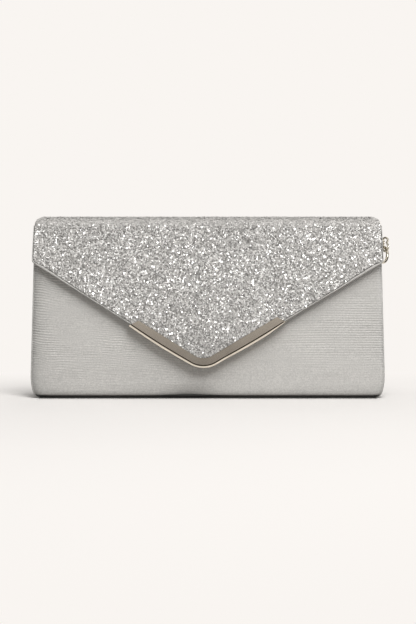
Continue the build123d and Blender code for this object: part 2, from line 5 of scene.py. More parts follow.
import bpy
import numpy as np
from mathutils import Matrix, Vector


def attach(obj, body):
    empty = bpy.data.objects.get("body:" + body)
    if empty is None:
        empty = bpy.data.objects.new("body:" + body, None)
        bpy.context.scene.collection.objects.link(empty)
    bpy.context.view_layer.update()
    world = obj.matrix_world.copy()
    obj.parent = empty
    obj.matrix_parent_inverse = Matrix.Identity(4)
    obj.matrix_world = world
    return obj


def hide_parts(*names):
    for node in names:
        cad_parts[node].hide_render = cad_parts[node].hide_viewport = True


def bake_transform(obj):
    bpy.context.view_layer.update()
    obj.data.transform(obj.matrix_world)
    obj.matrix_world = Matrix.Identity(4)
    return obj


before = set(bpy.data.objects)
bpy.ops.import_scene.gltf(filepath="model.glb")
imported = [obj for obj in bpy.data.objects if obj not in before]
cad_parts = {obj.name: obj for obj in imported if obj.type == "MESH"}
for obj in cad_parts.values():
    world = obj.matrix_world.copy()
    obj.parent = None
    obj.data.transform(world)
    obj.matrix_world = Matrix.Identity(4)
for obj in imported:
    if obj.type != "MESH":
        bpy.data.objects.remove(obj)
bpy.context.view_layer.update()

MM = 0.001
TURN = 2 * pi
QUARTER = pi / 2

# ---- sizes

FOOT_WIDTH = 245.0
MOUTH_WIDTH = 239.2
FOOT_DEPTH = 50.0
MOUTH_DEPTH = 39.0
MOUTH_Z = 120.2
CORNER_RUN = 5.0
CORNER_RISE = 16.0
FOOT_BEND = 9.0
SKIN = 1.0
REVEAL = 0.6
GUSSET_FOLD = 4.5
FOLD_Z = 15.0
RIM_Z = MOUTH_Z - 0.8
WALL_IN = 3.2
SIDE_IN = 2.2
LINING = 0.5
FACING = 0.8
FACING_DROP = 17.0

POCKET_WIDTH = 120.0
POCKET_HEIGHT = 66.0
POCKET_DEPTH = 5.7
POCKET_DROP = 22.0

FLAP_STACK = 2.5
FLAP_CLEAR = 1.4  # between the flap's inside and the mouth
SKIN_DEPTHS = (0.0, 0.8)
BOARD_DEPTHS = (0.8, 2.0)
LINING_DEPTHS = (2.0, 2.5)
TOP_Z = MOUTH_Z + FLAP_CLEAR + FLAP_STACK
CORNER_Z = 94.2
TIP_Z = 20.1
TIP_X = -3.2
TIP_ROUND = 17.0
TOP_OVERHANG = 0.42  # of the flap over the body's sides, at the top and at its lower corners
CORNER_OVERHANG = 1.05
SHOULDER_ROUND = (4.7, 11.0)  # the top corners' reach across and down
SHOULDER_SQUARE = 3.4  # 2 is a round corner
EDGE_BAND = 2.2  # rolled edge beside the glitter, and its share on the sides
EDGE_SIDE_SHARE = 0.4
FRONT_FOLD = 5.0
BACK_FOLD = 3.5
TAIL_Z = MOUTH_Z - 23.6
TAIL_SKIN = 0.8
TAIL_ROUND = 6.0

TRIM_WALL = 1.5
TRIM_FACE = 5.4
TRIM_REACH = (51.6, 58.2)
TRIM_END_SLANT = 0.62

SNAP_Z = 38.0
SNAP_STACK = 3.4

WALL_SLOPE = (FOOT_DEPTH - MOUTH_DEPTH) / 2 / MOUTH_Z
WALL_LEAN = atan(WALL_SLOPE)
WALL_COS, WALL_SIN = cos(WALL_LEAN), sin(WALL_LEAN)
SIDE_SLOPE = (FOOT_WIDTH - MOUTH_WIDTH) / 2 / (MOUTH_Z - CORNER_RISE)
FOLD_SPREAD = GUSSET_FOLD / (MOUTH_DEPTH / 2)
CREASE_SLOPE = ((MOUTH_WIDTH - FOOT_WIDTH) / 2 - GUSSET_FOLD) / (MOUTH_Z - FOLD_Z)


def wall_y(z):
    """Half the body's depth at a height, to the outer faces."""
    return FOOT_DEPTH / 2 - WALL_SLOPE * z


def half_width(z, inset=0.0):
    """Half the body's width at a height, drawn in by inset, with the bottom corner."""
    foot = FOOT_WIDTH / 2 - inset
    run = CORNER_RUN - inset
    drop = np.clip((CORNER_RISE - z) / (CORNER_RISE - inset), 0, 1)
    corner = foot - run + run * np.sqrt(1 - drop**2)
    return np.where(z > CORNER_RISE, foot - SIDE_SLOPE * (z - CORNER_RISE), corner)


STUD_Y = -wall_y(SNAP_Z) - SNAP_STACK * WALL_COS
STUD_Z = SNAP_Z + SNAP_STACK * WALL_SIN
FLAP_SLOPE = (-wall_y(MOUTH_Z) - FLAP_CLEAR - STUD_Y) / (MOUTH_Z - STUD_Z)
FLAP_LEAN = atan(FLAP_SLOPE)
FLAP_COS, FLAP_SIN = cos(FLAP_LEAN), sin(FLAP_LEAN)
FRONT_LINE_Y = STUD_Y + FLAP_SLOPE * (TOP_Z - STUD_Z) - FLAP_STACK / FLAP_COS
BACK_LINE_Y = wall_y(TOP_Z) + TAIL_SKIN / WALL_COS
FRONT_TURN = QUARTER - FLAP_LEAN
BACK_TURN = QUARTER - WALL_LEAN
FRONT_TAN = FRONT_FOLD * tan(FRONT_TURN / 2)
BACK_TAN = BACK_FOLD * tan(BACK_TURN / 2)
BEND_Y = wall_y(FOOT_BEND) - FOOT_BEND / WALL_COS
TOP_HALF = float(half_width(TOP_Z)) + TOP_OVERHANG
CORNER_HALF = float(half_width(CORNER_Z)) + CORNER_OVERHANG
# distances w down the front panel, from the front fold's sharp line
TIP_W = (TOP_Z - TIP_Z) / FLAP_COS
CORNER_W = (TOP_Z - CORNER_Z) / FLAP_COS

# ---- curves and meshes


def smooth(t):
    t = np.clip(t, 0, 1)
    return t * t * (3 - 2 * t)


def hump(t):
    """1 at 0, falling away on both sides."""
    return np.exp(-(t**2))


def unit(vector):
    return np.array(vector) / np.linalg.norm(vector)


def running(steps):
    """Distances from the start before and after each step."""
    return np.hstack([[0], np.cumsum(steps)])


def eased(count, share=1.0):
    """Places from -1 to 1, closer towards the ends."""
    places = np.sin(np.linspace(-1, 1, count) * QUARTER * share)
    return places / places[-1]


def soft_min(a, b, size):
    """The smaller of two values, rounded where they cross."""
    low = np.minimum(a, b)
    return low - size * np.log(np.exp(-(a - low) / size) + np.exp(-(b - low) / size))


def wave_noise(rng, count, low, high):
    """A smooth field: a sum of plane waves with lengths from low to high."""
    lengths = rng.uniform(low, high, count)
    angles = rng.uniform(0, TURN, count)
    phases = rng.uniform(0, TURN, count)
    kx, ky = TURN / lengths * np.cos(angles), TURN / lengths * np.sin(angles)

    def field(x, y):
        waves = (np.sin(a * x + b * y + p) for a, b, p in zip(kx, ky, phases))
        return sum(waves) / sqrt(count / 2)

    return field


def even_loop(points, count):
    """count points at equal steps round a closed line."""
    closed = np.vstack([points, points[:1]])
    along = running(np.linalg.norm(np.diff(closed, axis=0), axis=1))
    at = np.linspace(0, along[-1], count, endpoint=False)
    return np.stack([np.interp(at, along, column) for column in closed.T], 1)


def circle(across, up, count):
    """count unit spokes in the plane of two directions."""
    angle = np.arange(count) * TURN / count
    return np.outer(np.cos(angle), across) + np.outer(np.sin(angle), up)


def wire_rings(path, radius, sides):
    """Rings round a closed path that starts upwards, for a wire."""
    tangents = np.roll(path, -1, 0) - np.roll(path, 1, 0)
    tangents /= np.linalg.norm(tangents, axis=1)[:, None]
    side = np.cross(tangents[0], (0.0, 1.0, 0.0))
    rings = []
    for point, tangent in zip(path, tangents):
        side = unit(side - tangent * (side @ tangent))
        rings.append(point + radius * circle(side, np.cross(tangent, side), sides))
    return rings


def make_piece(name, points, faces, materials):
    """A smooth mesh object."""
    mesh = bpy.data.meshes.new(name)
    mesh.from_pydata((np.array(points) * MM).tolist(), [], faces)
    mesh.update()
    for material in materials:
        mesh.materials.append(material)
    mesh.shade_smooth()
    piece = bpy.data.objects.new(name, mesh)
    bpy.context.scene.collection.objects.link(piece)
    return piece


def loft(name, rings, materials, closed=False, reverse=False, part=None):
    """A solid through rings, shape (rows, cols, 3). part(col) numbers a face's material."""
    rings = np.array(rings)
    rows, cols = rings.shape[:2]
    spans = rows if closed else rows - 1
    col = np.arange(cols)
    low = np.arange(spans)[:, None] * cols
    high = (low + cols) % (rows * cols)
    after = (col + 1) % cols
    faces = np.stack([low + col, low + after, high + after, high + col], -1).reshape(-1, 4).tolist()
    if not closed:
        faces += [col[::-1].tolist(), (col + (rows - 1) * cols).tolist()]
    if reverse:
        faces = [face[::-1] for face in faces]
    piece = make_piece(name, rings.reshape(-1, 3), faces, materials)
    if part:
        numbers = [part(j) for j in range(cols)] * spans + [part(0), part(cols - 1)]
        piece.data.polygons.foreach_set("material_index", numbers)
    return piece


def point_layer(piece, name, values):
    layer = piece.data.attributes.new(name, "FLOAT", "POINT")
    layer.data.foreach_set("value", np.asarray(values, np.float32).ravel())


# ---- materials


class Nodes:
    """Short calls for the nodes of a world, or of a new material, given its name.

    A value is a number, a list for a vector, a tuple for a colour, or a node's output.
    """

    def __init__(self, owner):
        if isinstance(owner, str):
            owner = bpy.data.materials.new(owner)
        owner.use_nodes = True
        self.owner = owner
        self.tree = owner.node_tree

    def put(self, socket, value):
        if isinstance(value, bpy.types.NodeSocket):
            self.tree.links.new(value, socket)
        elif value is not None:
            socket.default_value = (*value, 1.0) if isinstance(value, tuple) else value

    def add(self, kind, inputs=(), **settings):
        node = self.tree.nodes.new("ShaderNode" + kind)
        for key, value in settings.items():
            setattr(node, key, value)
        for key, value in dict(inputs).items():
            self.put(node.inputs[key], value)
        return node.outputs

    def place(self, scale=(1.0, 1.0, 1.0)):
        """Object coordinates in millimetres, times scale."""
        place = self.add("TexCoord")["Object"]
        return self.add("Mapping", {"Vector": place, "Scale": [s / MM for s in scale]})["Vector"]

    def axis(self, vector, name):
        return self.add("SeparateXYZ", {"Vector": vector})[name]

    def attribute(self, name):
        return self.add("Attribute", attribute_name=name)["Fac"]

    def noise(self, vector, size, detail=3.0, roughness=0.55):
        """Noise with features of about size millimetres."""
        values = {"Vector": vector, "Scale": 1 / size, "Detail": detail, "Roughness": roughness}
        return self.add("TexNoise", values)["Fac"]

    def ramp(self, source, *stops):
        """Colour from a value: stops are (position, colour)."""
        output = self.add("ValToRGB", {"Fac": source})["Color"]
        elements = output.node.color_ramp.elements
        for element, (position, colour) in zip(elements, (stops[0], stops[-1])):
            element.position, element.color = position, (*colour, 1.0)
        for position, colour in stops[1:-1]:
            elements.new(position).color = (*colour, 1.0)
        return output

    def level(self, source, low, high, start=0.0, end=1.0):
        """Maps a value from start..end to low..high."""
        values = {"Value": source, "From Min": start, "From Max": end, "To Min": low, "To Max": high}
        return self.add("MapRange", values)["Result"]

    def math(self, operation, a, b=0.0):
        return self.add("Math", {0: a, 1: b}, operation=operation)[0]

    def product(self, a, b):
        return self.math("MULTIPLY", a, b)

    def mixed(self, a, b, share):
        """share of the first value and the rest of the second."""
        return self.math("ADD", self.product(a, share), self.product(b, 1 - share))

    def scaled(self, colour, factor):
        values = {"Vector": colour, "Scale": factor}
        return self.add("VectorMath", values, operation="SCALE")["Vector"]

    def bump(self, height, strength, distance, normal=None):
        values = {"Height": height, "Strength": strength, "Distance": distance * MM, "Normal": normal}
        return self.add("Bump", values)["Normal"]

    def finish(self, colour, roughness, normal=None, metallic=0.0):
        values = {"Base Color": colour, "Roughness": roughness, "Metallic": metallic, "Normal": normal}
        for key, value in values.items():
            self.put(self.tree.nodes["Principled BSDF"].inputs[key], value)
        return self.owner

    def backdrop_rays(self):
        """1 for the rays from camera, metal and glass, which see the backdrop pale."""
        rays = self.add("LightPath")
        seen = self.math("MAXIMUM", rays["Is Camera Ray"], rays["Is Glossy Ray"])
        return self.math("MAXIMUM", seen, rays["Is Transmission Ray"])

    def output(self, name, share, first, second):
        """Sends a mix of two shaders to the output node."""
        mix = self.add("MixShader", {0: share, 1: first, 2: second})["Shader"]
        self.put(self.tree.nodes[name].inputs["Surface"], mix)


def shade(*rgb):
    """Linear colour of an 8-bit sRGB one."""
    parts = [c / 255 for c in rgb]
    return tuple(c / 12.92 if c <= 0.04045 else ((c + 0.055) / 1.055) ** 2.4 for c in parts)


def times(colour, factor):
    return tuple(min(1.0, c * factor) for c in colour)


SILVER = shade(187, 185, 181)
PAINTED_SHADE_FULL = 2.4  # painted shade at which a skin is darkest, and how dark that is
PAINTED_SHADE_DARK = 0.04
TIP_PAINTED_SHADE = 0.22  # share of painted shade by which the glitter is darker at the tip, and how far up that reaches
TIP_SHADE_REACH = 45.0
GLITTER_TONE = 0.7  # tone of the binder in the calm strip along the front fold


def coated(name, tone):
    """Coated fabric: satin silver with a fine pebble and faint cross lines, with painted shade and
    highlight.

    Point attributes: rib is about -1 in the lines' hollows and 1 on their crests, and the colour is
    painted darker in the hollows and lighter on the crests. The other attribute is painted shade: 0 on
    open skin, about 1 at the side edges, and more under the flap's tip and along the foot.
    """
    n = Nodes(name)
    at = n.place()
    streak = n.noise(n.place((0.06, 0.06, 1.0)), 0.9, detail=2.0)
    cloud = n.noise(at, 38.0, detail=2.0)
    grain = n.noise(at, 0.45, detail=4.0)
    colour = n.ramp(
        n.mixed(streak, cloud, 0.6), (0.32, times(tone, 0.93)), (0.5, tone), (0.68, times(tone, 1.06))
    )
    pebble = n.level(n.noise(at, 0.8), 0.84, 1.16, 0.3, 0.7)
    # painted shade and highlight: the cross lines are coloured darker in their hollows and lighter on
    # their crests, times a random pebble tone
    rib_shade_and_pebble = n.product(n.level(n.attribute("rib"), 0.82, 1.18, -1.7, 1.7), pebble)
    # painted shade: the skin is darkened at its side edges, under the flap's tip and along the foot
    painted_shade = n.level(n.attribute("painted_shade"), 1.0, PAINTED_SHADE_DARK, 0.0, PAINTED_SHADE_FULL)
    colour = n.scaled(colour, n.product(rib_shade_and_pebble, painted_shade))
    normal = n.bump(streak, 0.4, 0.05, n.bump(grain, 0.45, 0.06))
    return n.finish(colour, n.level(grain, 0.36, 0.5, 0.3, 0.7), normal, metallic=0.05)


def binder():
    """Fine glitter in clear binder under the larger flakes."""
    n = Nodes("glitter_base")
    at = n.place()
    z = n.axis(at, "Z")
    cells = n.add("TexVoronoi", {"Vector": at, "Scale": 1 / 0.62})
    split = n.add("SeparateColor", {"Color": cells["Color"]})
    calm = n.level(z, 0.0, 0.6, TOP_Z - 7, TOP_Z - 2)
    # painted shade: the glitter darkens towards the tip
    tip_shade = n.level(z, 1 - TIP_PAINTED_SHADE, 1.0, TIP_Z, TIP_Z + TIP_SHADE_REACH)
    spread = n.math("SUBTRACT", split["Red"], GLITTER_TONE)
    spread = n.product(spread, n.math("SUBTRACT", 1.0, calm))
    colour = n.ramp(
        n.product(n.math("ADD", spread, GLITTER_TONE), tip_shade),
        (0.0, shade(96, 95, 93)),
        (0.45, shade(143, 142, 140)),
        (0.8, shade(197, 196, 194)),
        (1.0, shade(248, 248, 247)),
    )
    rough = n.level(split["Green"], 0.25, 0.6)
    return n.finish(colour, rough, n.bump(cells["Distance"], 0.8, 0.12), metallic=0.75)


def foil():
    """Foil flakes: each has its own tone, kept in the mesh, with painted shade towards the tip."""
    n = Nodes("glitter_flake")
    tone = n.attribute("tone")
    colour = n.ramp(
        tone,
        (0.0, shade(104, 103, 101)),
        (0.3, shade(145, 144, 142)),
        (0.7, shade(206, 205, 203)),
        (1.0, shade(255, 255, 254)),
    )
    return n.finish(colour, n.level(tone, 0.42, 0.22), metallic=0.85)


def metal(name, colour, rough, streak=0.0, painted_shade_top=None):
    """Plated metal with faint polishing marks; given a height, its colour runs from darker at the tip to
    a little lighter at that height, a painted reflection.
    """
    n = Nodes(name)
    at = n.place()
    marks = n.noise(at, 0.8, detail=4.0)
    cloud = n.noise(at, 9.0, detail=2.0)
    tint = n.ramp(cloud, (0.35, times(colour, 0.95)), (0.65, times(colour, 1.03)))
    if painted_shade_top:
        # painted reflection: the colour darkens towards the tip
        tint = n.scaled(tint, n.level(n.axis(at, "Z"), 0.66, 1.1, TIP_Z, painted_shade_top))
    rough = n.level(marks, rough * 0.8, rough * 1.3, 0.3, 0.7)
    return n.finish(tint, rough, n.bump(marks, 0.08 + streak, 0.02), metallic=1.0)


def woven(name, colour, pitch):
    """Woven lining: two crossing sets of threads."""
    n = Nodes(name)
    at = n.place()
    along = (n.math("ADD", n.axis(at, "X"), n.axis(at, "Y")), n.axis(at, "Z"))
    waves = [n.math("SINE", n.product(a, TURN / pitch)) for a in along]
    weave = n.level(n.product(*waves), 0.0, 1.0, -1.0, 1.0)
    mixed = n.mixed(weave, n.noise(at, 14.0), 0.5)
    tint = n.ramp(mixed, (0.3, times(colour, 0.88)), (0.7, times(colour, 1.12)))
    slub = n.noise(at, 1.2, detail=2.0)
    normal = n.bump(slub, 0.25, 0.1, n.bump(weave, 0.5, 0.08))
    return n.finish(tint, n.level(slub, 0.62, 0.82, 0.3, 0.7), normal)


def pressed(name, colour):
    """Grey card: pressed fibres and dark specks."""
    n = Nodes(name)
    fibres = n.noise(n.place((1.0, 1.0, 0.25)), 0.5, detail=5.0, roughness=0.7)
    mixed = n.mixed(fibres, n.noise(n.place(), 2.2, detail=2.0), 0.6)
    tint = n.ramp(mixed, (0.35, times(colour, 0.85)), (0.65, times(colour, 1.1)))
    return n.finish(tint, 0.85, n.bump(fibres, 0.4, 0.05))


silver_skin = coated("silver_skin", SILVER)
silver_gusset = coated("silver_gusset", times(SILVER, 0.97))
silver_binding = coated("silver_binding", times(SILVER, 0.98))
edge_paint = coated("edge_paint", shade(178, 176, 172))
glitter_base = binder()
glitter_flake = foil()
lining_cloth = woven("lining_cloth", shade(176, 171, 165), pitch=0.55)
flap_cloth = woven("flap_lining_cloth", shade(184, 180, 174), pitch=0.45)
# painted reflection: the trim's face and screws get a darker colour than the same plated metal on the
# lip, for the dark surroundings they mirror
trim_metal = metal("trim_metal", shade(157, 150, 140), 0.2, painted_shade_top=TIP_Z + 36)
# painted shade: the groove between the trim's face and lip is coloured dark
trim_groove_painted_shade = metal("trim_groove_painted_shade", shade(74, 68, 58), 0.4)
# painted highlight: the trim's lip is coloured lighter than the same metal on its face
trim_lip_highlight_metal = metal("trim_lip_painted_highlight", shade(226, 218, 204), 0.16)
ring_metal = metal("ring_metal", shade(222, 216, 202), 0.1)
snap_metal = metal("snap_metal", shade(196, 194, 190), 0.24)
magnet_metal = metal("magnet", shade(96, 95, 94), 0.45, streak=0.2)
card = pressed("card", shade(150, 143, 132))
flap_card = pressed("flap_card", shade(172, 169, 165))

SNAP_PARTS = ("cap", "prongs", "washer")
SNAP_NODES = [f"snap_{half}_{part}" for half in ("socket", "stud") for part in SNAP_PARTS]
for material, node_names in (
    (card, ["front_board", "back_board", "base_board"]),
    (flap_card, ["flap_top_board"]),
    (snap_metal, SNAP_NODES),
    (magnet_metal, ["snap_magnet"]),
    (trim_metal, ["trim_screws"]),
    (ring_metal, ["eye_backing"]),
):
    for node_name in node_names:
        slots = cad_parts[node_name].data.materials
        slots.clear()
        slots.append(material)

# ---- body skin

RIB_PITCH = 1.7
RIB_HEIGHT = 0.045
RIB_SLANT = 0.1  # on the left the lines fall to the right by this slope
WRAP_ROW = 0.3
WRAP_COLS = 61
SIDE_FALL = 0.8  # the side edges fall away by this much over the distance after it
SIDE_FALL_REACH = 5.5
PILLOW = 0.22
SAG_DEPTH = 1.0  # the front wall's foot is pressed in by this much under the flap's tip
SAG_HALF = 17.0
SAG_X = -13.0
FOOT_SQUARE = 4.5  # 2 is a round bend under the walls; the stiff foot card makes it fuller
# painted shade on the skin's turned side edges and its inner face
OFF_FACE_PAINTED_SHADE = 0.6


def side_profile():
    """Stations (y, z, normal y, normal z) down the front, under the foot and up the back."""
    tangent_z = FOOT_BEND * (1 + WALL_SIN)
    rows = np.linspace(RIM_Z, tangent_z, int((RIM_Z - tangent_z) / WRAP_ROW))
    half = [(-wall_y(z), z, -WALL_COS, WALL_SIN) for z in rows]
    for a in np.linspace(pi - WALL_LEAN, 1.5 * pi, 26)[1:]:
        spoke = np.array([cos(a), sin(a)])
        reach = FOOT_BEND * (np.abs(spoke) ** FOOT_SQUARE).sum() ** (-1 / FOOT_SQUARE)
        normal = unit(np.sign(spoke) * np.abs(spoke) ** (FOOT_SQUARE - 1))
        half.append((*(np.array([-BEND_Y, FOOT_BEND]) + reach * spoke), *normal))
    half += [(y, 0.0, 0.0, -1.0) for y in np.linspace(-BEND_Y, 0.0, 9)[1:]]
    return np.array(half + [(-y, z, -ny, nz) for y, z, ny, nz in half[-2::-1]])


def body_wrap():
    """Front, foot and back skin with rounded side edges and raised cross lines."""
    rng = np.random.default_rng(11)
    drift = wave_noise(rng, 7, 40, 130)
    ripple = wave_noise(rng, 9, 9, 30)
    swell = wave_noise(rng, 6, 45, 120)
    profile = side_profile()
    along = running(np.linalg.norm(np.diff(profile[:, :2], axis=0), axis=1))[:, None]
    y, z, ny, nz = (profile[:, k][:, None] for k in range(4))
    half = half_width(z)
    brim = half - SKIN
    x = eased(WRAP_COLS, 0.9) * brim
    edge = half - np.abs(x)
    on_wall = smooth((z - 9) / 14) * smooth((RIM_Z + 2 - z) / 8)
    pillow = PILLOW * (1 - (x / half) ** 4) * on_wall
    fall = SIDE_FALL * np.clip(1 - edge / SIDE_FALL_REACH, 0, 1) ** 2.2
    uneven = 0.05 * swell(x, along) * on_wall
    left = smooth((20 - x) / 90)
    phase = TURN * (along - RIB_SLANT * left * x) / RIB_PITCH
    phase = phase + (0.5 + 1.3 * left) * drift(x, along) + (0.15 + 1.2 * left) * ripple(x, along)
    rib = np.sin(phase) * (0.75 + 0.35 * drift(along, x))
    rib = rib * (0.35 + 0.65 * smooth((z - 12) / 30)) * (1 + 0.8 * left)
    press = hump((x - SAG_X) / SAG_HALF) * (y < 0)
    crush = SAG_DEPTH * press * smooth((11 - z) / 7) * smooth((z - 0.5) / 2)
    out = pillow + uneven + RIB_HEIGHT * rib - fall - crush

    def column(across, depth):
        return np.hstack([across, y - ny * depth, z - nz * depth])

    low = fall[:, -1:]
    turns = np.radians(np.linspace(10, 170, 7))
    bend = [(brim + sin(t), low + (SKIN - low) * (1 - cos(t)) / 2) for t in turns]
    columns = [column(x[:, [j]], -out[:, [j]]) for j in range(WRAP_COLS)]
    columns += [column(reach, depth) for reach, depth in bend]
    columns += [column(place * brim, SKIN) for place in np.linspace(1, -1, 9)]
    columns += [column(-reach, depth) for reach, depth in bend[::-1]]
    rings = np.stack(columns, 1)
    piece = loft("body_skin", rings, [silver_skin])
    # painted shade: darker along the side edges, more on the left, away from the key light
    painted_edge_shade = np.exp(-edge / 1.6) + np.where(x < 0, 0.9, 0.2) * np.exp(-edge / 7.0)
    # painted shade in the pressed-in foot under the flap's tip
    painted_sag_shade = 1.5 * press * hump(z / 5.5)
    # painted shadow: a dark line along the foot where it meets the floor
    painted_foot_shadow = 2.5 * hump((z - 1.4) / 0.85) + 0.3 * hump(z / 5)
    for name, values, rest in (("rib", rib, 0.0), ("painted_shade", painted_edge_shade + painted_sag_shade + painted_foot_shadow, OFF_FACE_PAINTED_SHADE)):
        field = np.full(rings.shape[:2], rest)
        field[:, :WRAP_COLS] = values
        point_layer(piece, name, field)
    return piece


skin_piece = body_wrap()
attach(skin_piece, "body")
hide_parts("outer_wrap")

# ---- gussets


def fold_x(y, z, inset):
    """Outer face of the right gusset's folded part, at y behind the crease."""
    foot_x = FOOT_WIDTH / 2 - inset * hypot(1, FOLD_SPREAD)
    return foot_x + CREASE_SLOPE * (z - FOLD_Z) + FOLD_SPREAD * y


def gusset_x(y, z, inset, crease=1.6):
    """Outer face of the right gusset, its crease rounded."""
    run = np.sqrt(y**2 + crease**2) - crease * 0.35
    return soft_min(half_width(z, inset), fold_x(run, z, inset), 0.3)


def inner_depth(z, inset):
    """Half the body's depth at a height, drawn in by inset, with the foot's bends."""
    wall = wall_y(z) - inset / WALL_COS
    radius = FOOT_BEND - inset
    drop = np.clip(FOOT_BEND - z, 0, radius)
    bend = BEND_Y + np.sqrt(np.maximum(radius**2 - drop**2, 0))
    return np.where(z > FOOT_BEND + 0.5, wall, np.minimum(bend, wall))


def gusset(side, name):
    """One side panel: soft, creased inwards, turned up under the foot."""
    rng = np.random.default_rng(21 if side > 0 else 22)
    crumple = wave_noise(rng, 9, 9, 34)
    turn = np.linspace(acos(11 / 11.4), QUARTER, 14)
    low_z = CORNER_RISE - (CORNER_RISE - REVEAL) * np.cos(turn)
    z = np.hstack([low_z, np.linspace(CORNER_RISE, RIM_Z, 110)[1:]])[:, None]
    cols = eased(49, 0.55)
    y = cols * inner_depth(z, SKIN)
    middle = 1 - np.abs(cols) ** 3
    soft = crumple(y, z) * (0.10 + 0.2 * hump((z - 26) / 16))
    near_mouth = smooth((RIM_Z - z) / 12)
    x = gusset_x(y, z, REVEAL)
    x = x - np.abs(soft) * middle * near_mouth * smooth((z - 4) / 10)
    faces = [np.stack([side * (x - depth), y, z + 0 * y], -1) for depth in (0.0, SKIN)]
    rings = np.hstack([faces[0], faces[1][:, ::-1]])
    return loft(name, rings, [silver_gusset], reverse=side < 0)


for side, name, node_name in (
    (1, "gusset_right", "side_panel_right"),
    (-1, "gusset_left", "side_panel_left"),
):
    piece = gusset(side, name)
    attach(piece, "body")
    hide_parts(node_name)

# ---- lining, pocket and binding


def mouth_loop(wall_inset, side_inset, z, count=320, passes=3):
    """Closed level line inside the walls and gussets at a height, its corners rounded."""
    depth = float(inner_depth(z, wall_inset))
    across = np.linspace(-depth, depth, 41)
    right = np.stack([gusset_x(across, z, side_inset, 1.2), across], 1)
    loop = even_loop(np.vstack([right, right[::-1] * (-1, 1)]), count)
    for _ in range(passes):
        loop = 0.25 * np.roll(loop, 1, 0) + 0.5 * loop + 0.25 * np.roll(loop, -1, 0)
    return np.column_stack([loop, np.full(count, float(z))])


def lining_bag():
    """Sewn lining: floor, walls and creased sides, a little loose."""
    slack = wave_noise(np.random.default_rng(31), 10, 16, 60)
    heights = [*np.linspace(WALL_IN, 9, 8), *np.linspace(12, RIM_Z, 46)]
    wall_out, side_out = WALL_IN - LINING, SIDE_IN - LINING

    def floor(ring, shares):
        return [ring * (share, share, 1) for share in shares]

    inside = [mouth_loop(WALL_IN, SIDE_IN, z) for z in heights]
    for z, ring in zip(heights, inside):
        loose = 0.35 * np.abs(slack(ring[:, 0], z + ring[:, 1]))
        loose = loose * smooth((z - 6) / 20) * smooth((RIM_Z - 14 - z) / 20)
        ring[:, 1] -= np.sign(ring[:, 1]) * loose
    rings = floor(inside[0], (0.05, 0.35, 0.65, 0.9)) + inside
    rings += [mouth_loop(wall_out, side_out, z) for z in heights[::-1]]
    rings += floor(mouth_loop(wall_out, side_out, wall_out), (1.0, 0.65, 0.3, 0.04))
    return loft("lining_bag", rings, [lining_cloth], reverse=True)


def binding():
    """Rolled binding over the rim with its facing inside the mouth."""
    wall_in = WALL_IN + FACING
    side_in = SIDE_IN + FACING
    low = RIM_Z - FACING_DROP
    profile = [(0, 0.6, RIM_Z), (0, 0.6, RIM_Z + 0.35), (0.25, 0.75, RIM_Z + 0.68), (0.7, 1, MOUTH_Z)]
    profile += [(wall_in - 0.9, side_in - 0.7, MOUTH_Z), (wall_in - 0.3, side_in - 0.2, RIM_Z + 0.6)]
    # the facing, with two lines of stitches drawn into it: depth in and height
    facing = [(0, RIM_Z + 0.1), (0, RIM_Z - 2.0), (0.18, RIM_Z - 2.4), (0, RIM_Z - 2.9)]
    facing += [(0, low + 2.4), (0.18, low + 2.0), (0, low + 1.5), (0.1, low + 0.2), (0.4, low)]
    profile += [(wall_in - depth, side_in - depth, z) for depth, z in facing]
    profile += [(WALL_IN, SIDE_IN, z) for z in (low + 0.2, RIM_Z - 1.0, RIM_Z)]
    rings = [mouth_loop(a, b, z, 360, 2) for a, b, z in profile]
    return loft("mouth_binding_roll", rings, [silver_binding], closed=True)


def pocket():
    """Slip pocket on the back lining: a soft patch with a rolled top hem."""
    seat_z = MOUTH_Z - POCKET_DROP
    seat_y = wall_y(seat_z) - WALL_IN / WALL_COS
    across = eased(45)
    x = across * POCKET_WIDTH / 2
    rows = []
    for down in [0, 0.6, 1.6, 2.6, 3.4, *np.linspace(6, POCKET_HEIGHT, 24)]:
        low = np.clip((POCKET_HEIGHT - down) / 10, 0, 1)
        bulge = (1 - np.abs(across) ** 5) * (1 - (1 - low) ** 3)
        lift = 0.7 + (POCKET_DEPTH - 1.1) * bulge * (0.75 + 0.25 * cos(down / 30))
        lift = lift - 0.2 * (2.2 < down < 3.0) - 0.25 * (down < 0.1)  # stitches and edge
        y = seat_y + down * WALL_SIN
        z = np.full_like(x, seat_z - down * WALL_COS)
        outer = np.stack([x, y - lift, z], 1)
        inner = np.stack([x * 0.995, y - np.maximum(lift - 0.6, 0.05), z], 1)
        rows.append(np.vstack([outer, inner[::-1]]))
    return loft("slip_pocket", rows, [lining_cloth])


for make, node_name in ((lining_bag, "lining"), (binding, "mouth_binding"), (pocket, "lining_pocket")):
    piece = make()
    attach(piece, "body")
    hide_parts(node_name)

# ---- flap


def flap_path():
    """Runs of the outer face from the tail to the tip: length, start, direction, radius of a fold."""
    tail_low = np.array([wall_y(TAIL_Z) + TAIL_SKIN / WALL_COS, TAIL_Z])
    back = np.array([BACK_LINE_Y, TOP_Z])
    front = np.array([FRONT_LINE_Y, TOP_Z])
    up = unit(back - tail_low)
    ahead = np.array([-1.0, 0.0])
    down = np.array([-FLAP_SIN, -FLAP_COS])
    top = BACK_LINE_Y - FRONT_LINE_Y - BACK_TAN - FRONT_TAN
    return [
        (np.linalg.norm(back - tail_low) - BACK_TAN, tail_low, up, 0),
        (BACK_FOLD * BACK_TURN, back - up * BACK_TAN, up, BACK_FOLD),
        (top, back + ahead * BACK_TAN, ahead, 0),
        (FRONT_FOLD * FRONT_TURN, front - ahead * FRONT_TAN, ahead, FRONT_FOLD),
        (TIP_W - FRONT_TAN, front + down * FRONT_TAN, down, 0),
    ]


